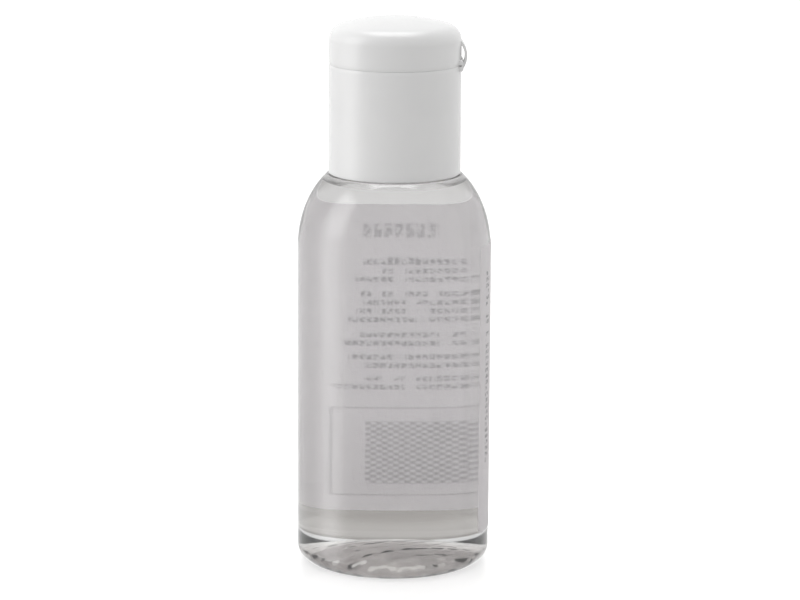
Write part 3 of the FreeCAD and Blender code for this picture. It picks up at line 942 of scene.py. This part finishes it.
def strap_sections():
    """Flat band between an inner and an outer arc, with its long edges eased, from the base's wall to the
    lid's: each section goes round a rectangle with quarter circles at its corners."""
    outer = strap_curve(STRAP_FOOT / 2, CAP_R + STRAP_BOW)
    inner = strap_curve(-STRAP_FOOT / 2, CAP_R + STRAP_BOW - STRAP_THICK)
    corner = np.radians(np.linspace(0, 90, STRAP_CORNER_STEPS))
    thick = 1 - STRAP_EASE + STRAP_EASE * np.cos(corner)
    lip = STRAP_EASE * STRAP_THICK / 2
    wide = STRAP_WIDTH / 2 - lip + lip * np.sin(corner)
    a = np.concatenate([thick, -thick[::-1], -thick, thick[::-1]])
    y = np.concatenate([wide, wide[::-1], -wide, -wide[::-1]])
    middle, half = (outer + inner) / 2, (outer - inner) / 2
    xz = middle[:, None] + half[:, None] * a[None, :, None]
    return np.stack([xz[..., 0], np.repeat(y[None], STRAP_STEPS, axis=0), xz[..., 1]], axis=-1)


hands = ((1, "left"), (-1, "right"))
for side, hand in hands:
    base_ear = ear("base_ear_" + hand, side, RIM_TOP + EAR_LAP, RIM_TOP - EAR_HEIGHT)
    set_piece(base_ear, "cap", "white_cap")
    lid_ear = ear("lid_ear_" + hand, side, LID_BOTTOM - EAR_LAP, LID_BOTTOM + EAR_HEIGHT)
    set_piece(lid_ear, "lid", "white_cap")
films = [hinge_film("hinge_film_" + hand, side) for side, hand in hands]
for film in films:
    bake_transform(film)
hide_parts("hinge_films")
strap = swept("bowed_strap", strap_sections(), [white_cap])
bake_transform(strap)
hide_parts("hinge_strap")


# Studio, in metres

FLOOR_REACH = 6.0
FLOOR_SEEN = (0.56, 0.555, 0.55)
# The next three give the floor's colour for rays that come straight through the bottle's wall: dark close to
# the bottle, a painted shadow of the bottle, turning grey further off over the given distance in metres.
PAINTED_SHADOW_NEAR = (0.14, 0.125, 0.11)
FLOOR_FAR = (0.45, 0.445, 0.44)
PAINTED_SHADOW_FADE = 0.09
FLOOR_SHINE = 0.5
FLOOR_GLOW = 0.56
FLOOR_GLOW_INSIDE = 0.6
FLOOR_GLOW_THROUGH = 0.18
# Painted light: the floor glows a little more round the bottle's foot, within the reach below in metres, for
# rays that come straight through the wall. It lightens the floor where the bottle's own shadow falls.
PAINTED_FOOT_LIGHT = 0.12
PAINTED_FOOT_REACH = 0.034
SKY = 0.87
SKY_LEAST = 0.05
SKY_TILT = (-0.13, 0.5, 0.25)  # how much lighter the sky is towards +X, +Y and +Z
SKY_THROUGH = 0.75
SIDE_LIGHT = 2.3
SIDE_MIDDLE = -0.11
SIDE_SPREAD = 0.22
SIDE_TOP = 0.25
SIDE_FADE = 0.4
HIGH_LIGHT = 2.6
HIGH_ACROSS = (-0.3, 0.06)
HIGH_ACROSS_SOFT = 0.22
HIGH_UP = (0.17, 0.7)
HIGH_UP_SOFT = 0.26
TOP_LIGHT = 3.6
TOP_ACROSS = (-0.3, 0.25)
TOP_ACROSS_SOFT = 0.2
TOP_ALONG = (-0.147, 0.4)
TOP_ALONG_SOFT = 0.03
SIDE_CARD = (-0.6, (-0.6, 0.5), (-0.25, 0.5))  # X, span of Y, span of Z
HIGH_CARD = (-0.61, (-0.4, 0.2), (0.05, 0.85))
TOP_CARD = ((-0.5, 0.5), (-0.2, 0.5), 0.8)  # span of X, span of Y, Z


def ray_share(tree, *rays):
    """1 for the kinds of ray named, else 0."""
    path = tree.nodes.new("ShaderNodeLightPath")
    share = path.outputs[rays[0]]
    for ray in rays[1:]:
        share = sum_node(tree, "MAXIMUM", share, path.outputs[ray])
    return share


def after_matt(tree):
    """1 for a ray that has already left a matt surface, else 0."""
    return sum_node(tree, "GREATER_THAN", tree.nodes.new("ShaderNodeLightPath").outputs["Diffuse Depth"], 0.5)


def plane(name, corners, finish):
    """Flat piece of the studio through four corners."""
    mesh = bpy.data.meshes.new(name)
    mesh.from_pydata(corners, [], [(0, 1, 2, 3)])
    mesh.materials.append(finish)
    made = bpy.data.objects.new(name, mesh)
    bpy.context.scene.collection.objects.link(made)
    return made


def level_corners(xs, ys, z):
    """Corners of a level rectangle."""
    return [(xs[0], ys[0], z), (xs[1], ys[0], z), (xs[1], ys[1], z), (xs[0], ys[1], z)]


def upright_corners(x, ys, zs):
    """Corners of an upright rectangle that faces along X."""
    return [(x, ys[0], zs[0]), (x, ys[1], zs[0]), (x, ys[1], zs[1]), (x, ys[0], zs[1])]


def floor_finish():
    """Pale matt floor that keeps the shadow. Its glow lifts it to white for the camera, and to a grey where
    it is seen through clear plastic, with painted light in a ring round the foot. Rays that have left a matt
    surface find the colour that the camera sees; those that came straight through the bottle's wall find it
    dark close to the bottle, a painted shadow of the bottle, and greyer further off."""
    finish, tree, shader = new_finish("pale floor")
    distance = tree.nodes.new("ShaderNodeVectorMath")
    distance.operation = "LENGTH"
    tree.links.new(object_place(tree), distance.inputs[0])
    far = distance.outputs["Value"]
    # Painted shadow: the floor is darker close to the bottle for rays that come straight through its wall.
    shade = tone(tree, soft_step(tree, far, PAINTED_SHADOW_FADE, 2 * PAINTED_SHADOW_FADE), PAINTED_SHADOW_NEAR, FLOOR_FAR)
    seen = ray_share(tree, "Is Camera Ray")
    lit = after_matt(tree)
    colour = mixed_colour(tree, sum_node(tree, "MAXIMUM", seen, lit), shade, FLOOR_SEEN)
    tree.links.new(colour, shader.inputs["Base Color"])
    shader.inputs["Roughness"].default_value = 0.3
    tree.links.new(product(tree, seen, FLOOR_SHINE), shader.inputs["Specular IOR Level"])
    through = ray_share(tree, "Is Glossy Ray", "Is Transmission Ray")
    # Painted light in a ring round the foot, where the bottle shades the floor.
    foot = product(tree, soft_step(tree, far, PAINTED_FOOT_REACH, -PAINTED_FOOT_REACH / 3), PAINTED_FOOT_LIGHT)
    direct = product(tree, through, sum_node(tree, "SUBTRACT", 1.0, lit))
    strength = product(tree, seen, FLOOR_GLOW)
    for share in (product(tree, through, lit, FLOOR_GLOW_INSIDE),
                  product(tree, direct, sum_node(tree, "ADD", foot, FLOOR_GLOW_THROUGH))):
        strength = sum_node(tree, "ADD", strength, share)
    glow = tree.nodes.new("ShaderNodeEmission")
    tree.links.new(strength, glow.inputs["Strength"])
    set_surface(tree, "ShaderNodeAddShader", shader, glow)
    return finish


def light_finish(name, strength_of):
    """Light that adds to what lies behind it; strength_of gives its strength from its X, Y and Z."""
    finish, tree, shader = new_finish(name)
    tree.nodes.remove(shader)
    split = tree.nodes.new("ShaderNodeSeparateXYZ")
    tree.links.new(object_place(tree), split.inputs[0])
    glow = tree.nodes.new("ShaderNodeEmission")
    tree.links.new(strength_of(tree, *split.outputs), glow.inputs["Strength"])
    set_surface(tree, "ShaderNodeAddShader", glow, tree.nodes.new("ShaderNodeBsdfTransparent"))
    return finish


def side_light(tree, x, y, z):
    """Brightest at its middle, fading sideways as a bell and slowly upwards."""
    off = sum_node(tree, "DIVIDE", sum_node(tree, "SUBTRACT", y, SIDE_MIDDLE), SIDE_SPREAD)
    bell = sum_node(tree, "POWER", 1 / math.e, product(tree, off, off))
    return product(tree, bell, soft_step(tree, z, SIDE_TOP, -SIDE_FADE), SIDE_LIGHT)


def high_light(tree, x, y, z):
    """Even, with soft edges all round."""
    across = between(tree, y, *HIGH_ACROSS, HIGH_ACROSS_SOFT)
    return product(tree, across, between(tree, z, *HIGH_UP, HIGH_UP_SOFT), HIGH_LIGHT)


def top_light(tree, x, y, z):
    """Even, with firm front and back edges and soft sides."""
    across = between(tree, x, *TOP_ACROSS, TOP_ACROSS_SOFT)
    return product(tree, across, between(tree, y, *TOP_ALONG, TOP_ALONG_SOFT), TOP_LIGHT)


def background(tree, strength):
    """White background light of a strength that a node gives."""
    made = tree.nodes.new("ShaderNodeBackground")
    made.inputs["Color"].default_value = (1, 1, 1, 1)
    tree.links.new(strength, made.inputs["Strength"])
    return made


def studio_sky():
    """Soft light from all round, stronger from above and behind; plain white where it is seen, and the grey
    of a room where it is seen straight through the clear bottle."""
    world = bpy.data.worlds.new("studio")
    bpy.context.scene.world = world
    world.use_nodes = True
    tree = world.node_tree
    tree.nodes.clear()
    way = tree.nodes.new("ShaderNodeTexCoord")
    split = tree.nodes.new("ShaderNodeSeparateXYZ")
    tree.links.new(way.outputs["Generated"], split.inputs[0])
    level = SKY
    for axis, share in zip(split.outputs, SKY_TILT):
        level = sum_node(tree, "ADD", product(tree, axis, share), level)
    light = background(tree, sum_node(tree, "MAXIMUM", level, SKY_LEAST))
    direct = sum_node(tree, "SUBTRACT", 1.0, after_matt(tree))
    through = product(tree, ray_share(tree, "Is Transmission Ray"), direct, 1 - SKY_THROUGH)
    white = background(tree, sum_node(tree, "SUBTRACT", 1.0, through))
    mix = tree.nodes.new("ShaderNodeMixShader")
    shown = ray_share(tree, "Is Camera Ray", "Is Glossy Ray", "Is Transmission Ray")
    tree.links.new(shown, mix.inputs["Fac"])
    tree.links.new(light.outputs[0], mix.inputs[1])
    tree.links.new(white.outputs[0], mix.inputs[2])
    out = tree.nodes.new("ShaderNodeOutputWorld")
    tree.links.new(mix.outputs[0], out.inputs["Surface"])


reach = (-FLOOR_REACH, FLOOR_REACH)
floor = plane("floor", level_corners(reach, reach, 0), floor_finish())
floor.visible_glossy = False
side_box = plane("side_softbox", upright_corners(*SIDE_CARD), light_finish("side softbox light", side_light))
high_box = plane("high_softbox", upright_corners(*HIGH_CARD), light_finish("high softbox light", high_light))
top_box = plane("top_softbox", level_corners(*TOP_CARD), light_finish("top softbox light", top_light))
for box in (side_box, high_box, top_box):
    box.visible_camera = False
    box.visible_shadow = False
    box.visible_transmission = False
for box in (high_box, top_box):
    box.visible_diffuse = False
studio_sky()

# Camera: place in metres, pitch, roll, and the lens in pixels of an image 800 pixels wide
CAMERA_PLACE = (0.0, -0.64067, 0.18316)
CAMERA_PITCH = math.radians(11.766)
CAMERA_ROLL = math.radians(0.272)
LENS_PIXELS = 3495.9
SHIFT_PIXELS = 6.09
IMAGE_WIDTH = 800
SENSOR_WIDTH = 36.0
CLIP_NEAR = 0.01
CLIP_FAR = 50

camera_data = bpy.data.cameras.new("camera")
camera_data.sensor_width = SENSOR_WIDTH
camera_data.lens = LENS_PIXELS * SENSOR_WIDTH / IMAGE_WIDTH
camera_data.shift_x = SHIFT_PIXELS / IMAGE_WIDTH
camera_data.clip_start = CLIP_NEAR
camera_data.clip_end = CLIP_FAR
camera = bpy.data.objects.new("camera", camera_data)
bpy.context.scene.collection.objects.link(camera)
forward = np.array([0, math.cos(CAMERA_PITCH), -math.sin(CAMERA_PITCH)])
level_side = np.array([1.0, 0, 0])
level_up = np.cross(level_side, forward)
right = level_side * math.cos(CAMERA_ROLL) + level_up * math.sin(CAMERA_ROLL)
up = level_up * math.cos(CAMERA_ROLL) - level_side * math.sin(CAMERA_ROLL)
camera.matrix_world = Matrix([(*row, place) for *row, place in zip(right, up, -forward, CAMERA_PLACE)]
                             + [(0, 0, 0, 1)])
bpy.context.scene.camera = camera
bpy.context.scene.view_settings.view_transform = "Standard"
